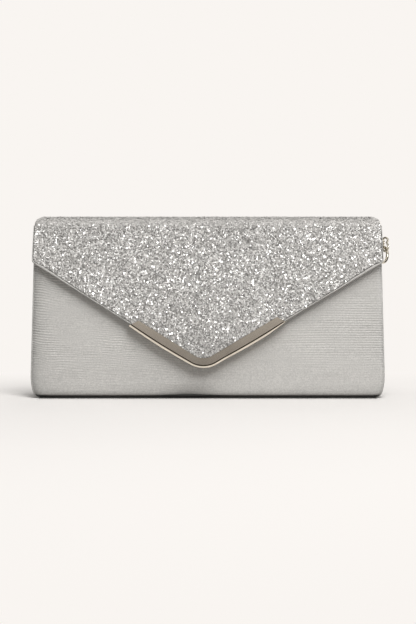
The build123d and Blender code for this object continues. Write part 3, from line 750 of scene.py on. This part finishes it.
FLAP_RUNS = flap_path()
FLAP_STARTS = running([run[0] for run in FLAP_RUNS])
BACK_FOLD_START, TOP_START, FRONT_FOLD_START, FRONT_START, FLAP_LENGTH = FLAP_STARTS[1:]
TOP_MIDDLE = (TOP_START + FRONT_FOLD_START) / 2
FOLD_LINE = FRONT_START - FRONT_TAN  # where w is 0
FLAP_END = FLAP_LENGTH + 5


def flap_place(s):
    """Points (y, z) and outward normals on the flap's outer face, at distances from the tail."""
    s = np.atleast_1d(s)
    place, normal = np.zeros((2, len(s), 2))
    stops = (*FLAP_STARTS[1:-1], np.inf)
    for start, stop, (_, origin, ahead, radius) in zip(FLAP_STARTS, stops, FLAP_RUNS):
        inside = (s >= start - 1e-9) & (s < stop)
        local = (s[inside] - start)[:, None]
        out = np.array([ahead[1], -ahead[0]])
        angle = local / radius if radius else 0 * local
        turned = out * np.cos(angle) + ahead * np.sin(angle)
        place[inside] = origin + ((turned - out) * radius if radius else local * ahead)
        normal[inside] = turned
    return place, normal


def shoulder_half(z):
    """Half the flap's width at a height, with its round top corners."""
    flare = (CORNER_HALF - TOP_HALF) / (TOP_Z - CORNER_Z)
    across, down = SHOULDER_ROUND
    rise = np.clip((z - TOP_Z + down) / down, 0, 1)
    corner = across * (1 - (1 - rise**SHOULDER_SQUARE) ** (1 / SHOULDER_SQUARE))
    return TOP_HALF + flare * (TOP_Z - z) - corner


# the slanted edges from the tip: side, and direction across and up
LEGS = [
    (side, unit([side * CORNER_HALF - TIP_X, TIP_W - CORNER_W])) for side in (-1, 1)
]


TIP_OPENING = acos(LEGS[0][1] @ LEGS[1][1])
TIP_RISE = TIP_ROUND / sin(TIP_OPENING / 2) * unit(LEGS[0][1] + LEGS[1][1])
TIP_CENTRE = np.array([TIP_X, TIP_W]) + TIP_RISE * (1, -1)  # centre of its round, as x and w


def front_edges(w, inset):
    """Left and right edges of the front panel, drawn in by inset."""
    side_half = shoulder_half(TOP_Z - w * FLAP_COS) - inset
    radius = TIP_ROUND - inset
    drop = np.clip(w - TIP_CENTRE[1], 0, radius)
    edges = []
    for side, along in LEGS:
        slope = abs(along[0]) / along[1]
        edge = side * TIP_X + slope * (TIP_W - w) - inset * hypot(1, slope)
        touch = TIP_CENTRE[1] + radius * abs(along[0])
        round_edge = side * TIP_CENTRE[0] + np.sqrt(np.maximum(radius**2 - drop**2, 0))
        edges.append(side * soft_min(side_half, np.where(w > touch, round_edge, edge), 0.9))
    return edges


def strip_edges(s, depth, inset):
    """Left and right edges of a flap layer at distances from the tail."""
    place, normal = flap_place(s)
    whole = shoulder_half(place[:, 1] - normal[:, 1] * depth)
    whole = whole - inset * smooth((s - FRONT_FOLD_START) / 6)
    w = s - FOLD_LINE
    on_front = w > FRONT_TAN
    left, right = front_edges(np.where(on_front, w, FRONT_TAN), inset)
    corner = TAIL_ROUND - np.sqrt(TAIL_ROUND**2 - np.clip(TAIL_ROUND - s, 0, TAIL_ROUND) ** 2)
    return np.where(on_front, left, -whole) + corner, np.where(on_front, right, whole) - corner


def edge_band(s):
    """Width of the rolled edge at distances from the tail."""
    w = s - FOLD_LINE
    share = EDGE_SIDE_SHARE + (1 - EDGE_SIDE_SHARE) * smooth((w - CORNER_W + 3) / 6)
    return EDGE_BAND * (share - 0.45 * smooth((w - CORNER_W - 2) / 20))


def flap_rows(start, end, inset):
    """Distances for the rows of a flap layer: closer in the folds, corners and tip."""
    last = FOLD_LINE + TIP_CENTRE[1] + TIP_ROUND - inset - 0.02
    corner = FOLD_LINE + CORNER_W
    low = FOLD_LINE + TIP_CENTRE[1]
    rows = [
        [0.0, 0.6, 1.5, 3.0, 4.5, TAIL_ROUND],
        np.arange(8, BACK_FOLD_START, 2.0),
        np.linspace(BACK_FOLD_START, TOP_START, 12),
        np.linspace(TOP_START, FRONT_FOLD_START, 20)[1:-1],
        np.linspace(FRONT_FOLD_START, FRONT_START, 15),
        np.arange(FRONT_START + 1.5, corner - 4, 2.0),
        np.linspace(corner - 4, corner + 4, 17),
        np.linspace(corner + 4, low, 34)[1:],
        low + (last - low) * np.sin(np.linspace(0, QUARTER, 22))[1:],
    ]
    rows = np.hstack(rows)
    rows = rows[(rows > start + 0.2) & (rows < end - 0.2)]
    return np.hstack([[start], rows, [min(end, last)]])


def flap_sheet(name, start, end, depths, inset, materials, slot, edge=0.25):
    """A solid layer of the flap between two distances, with rounded side edges."""
    s = flap_rows(start, end, inset)
    place, normal = flap_place(s)
    sides_in = edge_band(s) if slot == "glitter" else inset
    thick = depths[1] - depths[0]
    outside = eased(33, 0.8)
    inside = outside[::-3]
    turns = np.linspace(0, pi, 7)[1:-1]
    bend = [(1.0 - sin(t), depths[0] + thick * (1 - cos(t)) / 2) for t in turns]
    levels = [(value, 1.0, depths[0]) for value in outside] + [(1.0, *step) for step in bend]
    levels += [(value, 1.0, depths[1]) for value in inside]
    levels += [(-1.0, *step) for step in bend[::-1]]
    columns = []
    for value, share, depth in levels:
        left, right = strip_edges(s, depth, sides_in)
        half = np.maximum((right - left) / 2 - edge * share, 0.02)
        columns.append(np.column_stack([(left + right) / 2 + value * half, place - normal * depth]))
    inner_from = len(outside) + len(bend)

    def part(col):
        return 1 if inner_from <= col < inner_from + len(inside) - 1 else 0

    rings = np.stack(columns, 1)
    return loft(name, rings, materials, part=part if len(materials) > 1 else None)


def point_at(s):
    """A point in metres on the flap's middle line."""
    y, z = flap_place(s)[0][0]
    return (0.0, float(y) * MM, float(z) * MM)


BACK_BEND = (point_at(BACK_FOLD_START), point_at(TOP_START))
FRONT_BEND = (point_at(FRONT_FOLD_START), point_at(FRONT_START))

back_skin = flap_sheet(
    "glitter_skin_back", 0.0, TOP_MIDDLE, SKIN_DEPTHS, EDGE_BAND, [glitter_base, flap_cloth], "glitter"
)
front_skin = flap_sheet(
    "glitter_skin_front", TOP_MIDDLE, FLAP_END, SKIN_DEPTHS, EDGE_BAND, [glitter_base], "glitter"
)
top_lining = flap_sheet(
    "flap_lining_sheet", TOP_START + 0.6, FLAP_END, LINING_DEPTHS, 0.4, [flap_cloth], "flap_lining_cloth"
)
board_piece = flap_sheet(
    "flap_board_edge", FRONT_START + 2.3, FLAP_END, BOARD_DEPTHS, 0.5, [edge_paint], "flap_card", edge=0.5
)
# section of the rolled edge: share of its width in from the flap's edge, depth under the face
EDGE_ROLL = [(1.0, 0.7), (0.98, 0.3), (0.9, 0.12), (0.75, -0.02), (0.5, -0.08), (0.25, 0.02)]
EDGE_ROLL += [(0.1, 0.22), (0.01, 0.7), (0.0, 1.5), (0.06, 1.85), (0.2, 2.0), (0.6, 2.0)]


def edge_roll(side, name):
    """Painted edge of the board, rolled over the skin, from the fold to the trim."""
    pick = 0 if side < 0 else 1
    s = flap_rows(FRONT_START, FLAP_END, 0.0)
    edge = front_edges(s - FOLD_LINE, 0.0)[pick]
    s = s[np.abs(edge - TIP_X) > TRIM_REACH[pick] - 5]
    w = s - FOLD_LINE
    place, normal = flap_place(s)
    grown = smooth((w - FRONT_TAN) / 5)[:, None]
    columns = []
    for share, depth in EDGE_ROLL:
        x = front_edges(w, share * (edge_band(s) - 0.3))[pick]
        columns.append(np.column_stack([x, place - normal * (depth * grown + 1 - grown)]))
    return loft(name, np.stack(columns, 1), [edge_paint], reverse=side < 0)


for side, name in ((-1, "flap_edge_left"), (1, "flap_edge_right")):
    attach(edge_roll(side, name), "flap_front")

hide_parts("flap_tail")
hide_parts("flap_skin", "flap_top_skin")
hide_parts("flap_lining", "flap_top_lining")
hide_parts("flap_board")
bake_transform(back_skin)
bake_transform(front_skin)
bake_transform(top_lining)
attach(board_piece, "flap_front")

# ---- glitter flakes

CALM_TONE = 0.72  # along the fold the flakes are pressed flat and alike
FLAKE_RADII = (0.42, 0.7)
FLAKE_LIFTS = (0.04, 0.24)
FLAKE_TILT = radians(15)  # its spread, and the most that a flake tilts
FLAKE_TILT_MOST = radians(38)


def flakes(name, start, end, density, seed):
    """Hexagonal foil flakes laid at random on the flap between two distances."""
    rng = np.random.default_rng(seed)
    count = int(density * (end - start) * 2 * CORNER_HALF)
    s = rng.uniform(start, end, count)
    x = rng.uniform(-CORNER_HALF, CORNER_HALF, count)
    left, right = strip_edges(s, 0.0, edge_band(s))
    w = s - FOLD_LINE
    trim_left, trim_right = front_edges(np.maximum(w, FRONT_TAN), TRIM_FACE + 0.3)
    under = (w > FRONT_TAN) & ((x < trim_left) | (x > trim_right))
    under &= (x > TIP_X - TRIM_REACH[0] + 4) & (x < TIP_X + TRIM_REACH[1] - 4)
    keep = (x > left + 0.75) & (x < right - 0.75) & ~under
    s, x = s[keep], x[keep]
    count = len(s)
    place, normal = flap_place(s)
    out = np.column_stack([np.zeros(count), normal])
    size = rng.uniform(*FLAKE_RADII, count)
    lift = rng.uniform(*FLAKE_LIFTS, count)
    tilt = np.minimum(np.abs(rng.normal(0, 1, count)) * FLAKE_TILT, FLAKE_TILT_MOST)
    calm = smooth((place[:, 1] - TOP_Z + 7) / 5)
    tilt = (tilt * (1 - 0.7 * calm))[:, None]
    toward = rng.uniform(0, TURN, count)[:, None]
    across = np.array([1.0, 0.0, 0.0])
    up = np.cross(out, across)
    face = out * np.cos(tilt) + (across * np.cos(toward) + up * np.sin(toward)) * np.sin(tilt)
    first = np.cross(face, across + 0.3 * up)
    first /= np.linalg.norm(first, axis=1)[:, None]
    second = np.cross(face, first)
    spin = rng.uniform(0, pi / 3, count)
    sink = np.minimum(size * np.sin(tilt[:, 0]) * 0.5, 0.12)
    centre = np.column_stack([x, place]) + out * (lift + sink)[:, None]
    angle = (spin[:, None] + np.arange(6) * TURN / 6)[..., None]
    spokes = first[:, None] * np.cos(angle) + second[:, None] * np.sin(angle)
    points = (centre[:, None] + spokes * size[:, None, None]).reshape(-1, 3)
    faces = np.arange(count * 6).reshape(-1, 6).tolist()
    grid = ceil(sqrt(count))
    cell = np.stack(np.divmod(np.arange(count), grid)[::-1], 1)[:, None]
    uv = ((cell + 0.5 + 0.42 * circle((1, 0), (0, 1), 6)) / grid).astype(np.float32)
    piece = make_piece(name, points, faces, [glitter_flake])
    piece.data.uv_layers.new(name="OFBake").data.foreach_set("uv", uv.ravel())
    tone = rng.beta(2.0, 1.8, count)
    tone = tone + (CALM_TONE - tone) * 0.6 * calm
    # painted shade: the flakes darken towards the tip
    tone = tone * (1 - TIP_PAINTED_SHADE * smooth((TIP_Z + TIP_SHADE_REACH - place[:, 1]) / TIP_SHADE_REACH))
    point_layer(piece, "tone", np.repeat(tone, 6))
    piece.data.shade_flat()
    return piece


back_flakes = flakes("glitter_flakes_back", 0.8, TOP_MIDDLE - 0.3, density=1.3, seed=41)
front_flakes = flakes("glitter_flakes_front", TOP_MIDDLE + 0.3, FLAP_LENGTH, density=1.65, seed=42)
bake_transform(back_flakes)
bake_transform(front_flakes)

# ---- metal trim

# sections of the channel: distance out from the flap's edge, height over its face
FACE_SECTION = [
    (-5.4, 0.1), (-5.4, 0.42), (-5.32, 0.54), (-5.15, 0.6), (-4.2, 0.62), (-2.4, 0.64), (-1.0, 0.62),
    (-0.62, 0.58),
]
GROOVE_SECTION = [(-0.5, 0.42), (-0.4, 0.3), (-0.1, 0.28), (0.04, 0.4)]
LIP_SECTION = [
    (0.12, 0.72), (0.24, 0.98), (0.46, 1.14), (0.8, 1.2), (1.14, 1.14), (1.36, 0.98), (1.48, 0.72),
    (1.5, 0.4), (1.5, -2.5), (1.46, -2.8), (1.34, -3.0), (1.1, -3.1), (-4.1, -3.1), (-4.32, -3.04),
    (-4.4, -2.85), (-4.32, -2.6), (-4.1, -2.53), (0.02, -2.53), (0.02, 0.1),
]
TRIM_BOW = 0.6  # the legs bow out by this much halfway along
TRIM_MIDDLE = 99.0  # far from the ends


def trim_path():
    """Stations round the tip from the left: edge point, outward, distance to the end."""
    tip = np.array([TIP_X, TIP_W])
    legs = []
    for (side, along), reach in zip(LEGS, TRIM_REACH):
        ahead = np.array([along[0], -along[1]])
        outward = np.array([along[1] * side, abs(along[0])])
        length = (reach - TRIM_WALL * along[1]) / abs(along[0])
        first = np.linalg.norm(TIP_CENTRE + TIP_ROUND * outward - tip)
        places = [*np.linspace(length, length - 8, 9), *np.linspace(length - 10, first, 16)]
        legs.append([(tip + ahead * p, outward, length - p) for p in places])
    start, stop = (atan2(leg[0][1][1], leg[0][1][0]) for leg in legs)
    spokes = [np.array([cos(a), sin(a)]) for a in np.linspace(start, stop, 26)[1:-1]]
    arc = [(TIP_CENTRE + TIP_ROUND * spoke, spoke, TRIM_MIDDLE) for spoke in spokes]
    return legs[0] + arc + legs[1][::-1]


def trim():
    """V channel swept round the tip, its ends cut on the slant."""
    rings = []
    for place, outward, from_end in trim_path():
        side = np.sign(outward[0])
        inward = np.array([-outward[1], outward[0]]) * side
        hold = TRIM_END_SLANT * max(0.0, 1 - from_end / 14)
        bow = TRIM_BOW * sin(pi * min(1.0, from_end / 50))
        taper = 1 - 0.65 * max(0.0, 1 - from_end / 16) * (side > 0)
        out, height = np.array(FACE_SECTION + GROOVE_SECTION + LIP_SECTION).T
        out = np.where(out > 0, out * taper, out) + bow * (out + TRIM_FACE) / TRIM_FACE
        x, w = (place + np.outer(out, outward) + np.outer(hold * (TRIM_WALL - out), inward)).T
        face, normal = flap_place(FOLD_LINE + w)
        rings.append(np.column_stack([x, face + normal * height[:, None]]))
    face_end = len(FACE_SECTION) - 1
    groove_end = face_end + 1 + len(GROOVE_SECTION)

    def part(col):
        return 0 if col < face_end else 1 if col < groove_end else 2

    # the face carries painted reflection, the groove painted shade and the lip a painted highlight
    metals = [trim_metal, trim_groove_painted_shade, trim_lip_highlight_metal]
    return loft("trim_channel", rings, metals, part=part)


trim_piece = trim()
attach(trim_piece, "flap_front")
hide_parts("flap_trim")

# ---- strap ring and eye

RING_RADIUS = 5.4
RING_WIRE = 2.1
EYE_HEIGHT = 9.6
EYE_RADIUS = 2.2
EYE_WIRE = 1.5
EYE_PINCH = 0.42  # share by which the loop narrows, its height over the foot, and its reach
EYE_NECK = 6.1
EYE_NECK_HALF = 1.2
EYE_BOTTOM_Z = MOUTH_Z - 20.0
POST_Z = MOUTH_Z - 13.0
POST_DEPTH = 3.6
EYE_YAW = radians(-39)
RING_YAW = radians(55)
RING_HANG = radians(30)
RING_TOUCH_Z = EYE_BOTTOM_Z + (EYE_WIRE + RING_WIRE) / 2 + 0.65
RING_LOW_Z = RING_TOUCH_Z - RING_RADIUS * (1 + cos(RING_HANG)) - RING_WIRE / 2
EYE_Y = wall_y(POST_Z) - 11.07
EYE_X = fold_x(EYE_Y, RING_LOW_Z, REVEAL) + 6.2
EYE_AXIS = np.array([cos(EYE_YAW), sin(EYE_YAW), 0.0])
POST_AXIS = unit([1, -FOLD_SPREAD, -CREASE_SLOPE])
POST_START = np.array([EYE_X, EYE_Y, POST_Z]) - EYE_AXIS * EYE_RADIUS
POST_REACH = (POST_START[0] - fold_x(POST_START[1], POST_Z, REVEAL)) * POST_AXIS[0]
POST_SEAT = POST_START - POST_AXIS * POST_REACH
UP = np.array([0.0, 0.0, 1.0])


def turned(profile, sides):
    """Rings round the post's axis from (radius, height over the gusset) pairs."""
    side = unit(np.cross(UP, POST_AXIS))
    spokes = circle(side, np.cross(POST_AXIS, side), sides)
    return [POST_SEAT + h * POST_AXIS + max(r, 0.01) * spokes for r, h in profile]


def metal_loft(name, rings, closed=False):
    return loft(name, rings, [ring_metal], closed=closed)


def eye_loop():
    """Wire bent to a long loop, its post with a peened end, and its rosette."""
    middle = np.array([EYE_X, EYE_Y, EYE_BOTTOM_Z + EYE_HEIGHT / 2])
    turns = np.linspace(0, pi, 21)
    top = EYE_RADIUS * np.stack([np.cos(turns), np.sin(turns)], 1) + (0, EYE_HEIGHT / 2 - EYE_RADIUS)
    across, up = even_loop(np.vstack([top, -top]), 96).T
    across = across * (1 - EYE_PINCH * hump((up + EYE_HEIGHT / 2 - EYE_NECK) / EYE_NECK_HALF))
    path = middle + np.outer(across, EYE_AXIS) + np.outer(up, UP)
    wire = metal_loft("ring_eye_wire", wire_rings(path, EYE_WIRE / 2, 20), closed=True)
    peen = [(0, 0), (2.6, 0), (3.3, 0.12), (3.45, 0.3), (1.0, 0.4)]
    profile = [(r, h - POST_DEPTH) for r, h in peen] + [(1.0, 0.9), (1.15, 1.0), (1.0, 1.2)]
    head = [(0.92, -0.6), (0.8, -0.1), (0.45, 0.25), (0, 0.3)]
    profile += [(r, POST_REACH + h) for r, h in head]
    post = metal_loft("ring_eye_post", turned(profile, 32))
    plate = [(1.16, 0.02), (3.1, 0.02), (3.2, 0.12), (3.2, 0.5), (3.05, 0.78), (2.75, 0.95)]
    plate += [(2.2, 1.0), (1.9, 0.9), (1.5, 0.92), (1.16, 0.96)]
    rosette = metal_loft("eye_rosette_plate", turned(plate, 48), closed=True)
    return wire, post, rosette


def strap_ring():
    """Round wire ring hanging in the eye."""
    level = np.array([cos(RING_YAW), sin(RING_YAW), 0.0])
    contact = np.array([EYE_X, EYE_Y, RING_TOUCH_Z])
    middle = contact - RING_RADIUS * (UP * cos(RING_HANG) + level * sin(RING_HANG))
    rings = wire_rings(middle + RING_RADIUS * circle(level, UP, 96), RING_WIRE / 2, 28)
    return metal_loft("strap_ring_wire", rings, closed=True)


wire, post, rosette = eye_loop()
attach(wire, "body")
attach(post, "body")
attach(rosette, "body")
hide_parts("ring_eye")
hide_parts("eye_rosette")
ring_piece = strap_ring()
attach(ring_piece, "ring")
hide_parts("strap_ring")

# ---- camera

PIXELS_PER_MM = 1.449
LENS = 150.0
FRAME_HEIGHT = 624
SENSOR = 36.0
ELEVATION = radians(4.0)
DISTANCE = FRAME_HEIGHT * LENS / (SENSOR * PIXELS_PER_MM)
TARGET = Vector((0.0002, -0.025, 0.0599))  # in metres, as are the lamps' places and sizes
LAMP_TARGET = Vector((0, 0, 0.06))


def aim(thing, away):
    thing.rotation_euler = (-away).to_track_quat("-Z", "Y").to_euler()
    bpy.context.scene.collection.objects.link(thing)


camera = bpy.data.objects.new("camera", bpy.data.cameras.new("camera"))
camera.data.lens = LENS
camera.data.sensor_width = SENSOR
camera.data.clip_end = 20
away = Vector((0, -cos(ELEVATION), sin(ELEVATION)))
camera.location = TARGET + away * DISTANCE * MM
aim(camera, away)
bpy.context.scene.camera = camera
bpy.context.scene.view_settings.view_transform = "Standard"

# ---- floor and light

PALE = shade(249, 245, 241)
FLOOR_TINT = shade(203, 200, 197)
FLOOR_BOUNCE = shade(158, 155, 152)  # the floor's colour for the light that it throws back
FLOOR_HALF = 3000
FLOOR_END = 2200  # the floor curves up behind this, over the radius and height after it
CURVE = 800
FOOT_HALF = 25.0  # the foot's reach to the front, and to each side
FOOT_END = float(half_width(0.0)) - 1.0
# painted contact shadow: the floor's colour darkens this close to the foot, 0.5 is at the foot and 1 at
# the reach
CONTACT_SHADOW_REACH = 14.0
PAINTED_CONTACT_SHADOW = [(0.5, 0.12), (0.52, 0.35), (0.63, 0.85), (1.0, 1.0)]
# share of the backdrop's own light in the floor, by metres from the foot
FLOOR_GLOW = [(0.0, 0.02), (0.03, 0.2), (0.1, 0.42), (0.3, 0.7), (0.8, 1.0)]
BEHIND_SHARE = 5.0  # distances count this many times behind the bag and beside it
BESIDE_SHARE = 4.0
CARD_X = 900
AMBIENT = 0.018


def studio_floor():
    """A floor that curves up into a backdrop, with a painted contact shadow round the foot."""
    turns = np.radians(np.linspace(0, 90, 25))
    profile = [(-FLOOR_HALF, 0), (-1000, 0), (600, 0)]
    profile += [(FLOOR_END + CURVE * sin(t), CURVE * (1 - cos(t))) for t in turns]
    profile.append((FLOOR_END + CURVE, FLOOR_HALF))
    points = [(x, y, z) for x in (-FLOOR_HALF, FLOOR_HALF) for y, z in profile]
    count = len(profile)
    faces = [(i, i + count, i + count + 1, i + 1) for i in range(count - 1)]
    n = Nodes("studio_floor")
    seen = n.backdrop_rays()
    place = n.add("SeparateXYZ", {"Vector": n.place()})
    beside = n.math("SUBTRACT", n.math("ABSOLUTE", place["X"]), FOOT_END)
    before = n.math("SUBTRACT", n.product(place["Y"], -1.0), FOOT_HALF)
    behind = n.product(place["Y"], BEHIND_SHARE)
    gaps = []
    for gap in (n.product(beside, BESIDE_SHARE), n.math("MAXIMUM", before, behind)):
        gaps.append(n.math("POWER", n.math("MAXIMUM", gap, 0.0), 2.0))
    gap = n.math("POWER", n.math("ADD", *gaps), 0.5)
    share = n.ramp(n.math("DIVIDE", gap, 1 / MM), *[(at, (v, v, v)) for at, v in FLOOR_GLOW])
    # painted contact shadow: the floor's colour darkens near the foot
    contact_shadow_place = n.math("ADD", 0.5, n.product(gap, 0.5 / CONTACT_SHADOW_REACH))
    stops = [(at, times(FLOOR_TINT, dark)) for at, dark in PAINTED_CONTACT_SHADOW]
    tint = n.ramp(n.product(seen, contact_shadow_place), (0.0, FLOOR_BOUNCE), *stops)
    n.finish(tint, 0.9)
    cloth = n.tree.nodes["Principled BSDF"].outputs["BSDF"]
    glow = n.add("Emission", {"Color": PALE, "Strength": 1.0})["Emission"]
    n.output("Material Output", n.product(seen, share), cloth, glow)
    make_piece("studio_floor", points, faces, [n.owner])


def studio_card(name, x):
    """A dark card beside the bag, which only wires and flakes mirror."""
    points = [(x, y, z) for y, z in ((-1100, 5), (500, 5), (500, 1100), (-1100, 1100))]
    n = Nodes(name)
    weave = n.noise(n.place(), 3.0)
    material = n.finish(n.ramp(weave, (0.3, shade(44, 43, 42)), (0.7, shade(50, 49, 48))), 0.9)
    piece = make_piece(name, points, [(0, 1, 2, 3)], [material])
    piece.visible_camera = False
    piece.visible_shadow = False


def area_light(name, place, size, power, mirrored=False):
    """A soft box that lights the bag, or is only mirrored in it."""
    lamp = bpy.data.objects.new(name, bpy.data.lights.new(name, "AREA"))
    lamp.data.shape = "RECTANGLE"
    lamp.data.size, lamp.data.size_y = size
    lamp.data.energy = power
    lamp.location = place
    lamp.visible_camera = False
    lamp.visible_diffuse = not mirrored
    lamp.visible_glossy = mirrored
    aim(lamp, Vector(place) - LAMP_TARGET)


def studio_world():
    """Soft light from all round; camera, metal and glass see the pale backdrop."""
    bpy.context.scene.world = bpy.data.worlds.new("studio")
    n = Nodes(bpy.context.scene.world)
    ambient = n.tree.nodes["Background"]
    n.put(ambient.inputs["Color"], (1.0, 1.0, 1.0))
    n.put(ambient.inputs["Strength"], AMBIENT)
    pale = n.add("Background", {"Color": PALE, "Strength": 1.0})["Background"]
    n.output("World Output", n.backdrop_rays(), ambient.outputs["Background"], pale)


studio_floor()
studio_card("studio_card_left", -CARD_X)
studio_card("studio_card_right", CARD_X)
area_light("key", (0.26, -0.76, 1.3), (0.6, 1.2), 36)
area_light("back", (0.4, 1.6, 0.5), (1.6, 0.8), 14)
area_light("side", (-1.5, 0.55, 0.45), (0.8, 0.6), 7)
area_light("fill", (-0.3, -1.9, 0.5), (1.4, 0.9), 0.8)
area_light("strip_right", (1.15, -1.6, 0.3), (0.4, 0.8), 16, mirrored=True)
area_light("strip_left", (-1.15, -1.6, 0.35), (0.4, 0.8), 8, mirrored=True)
studio_world()
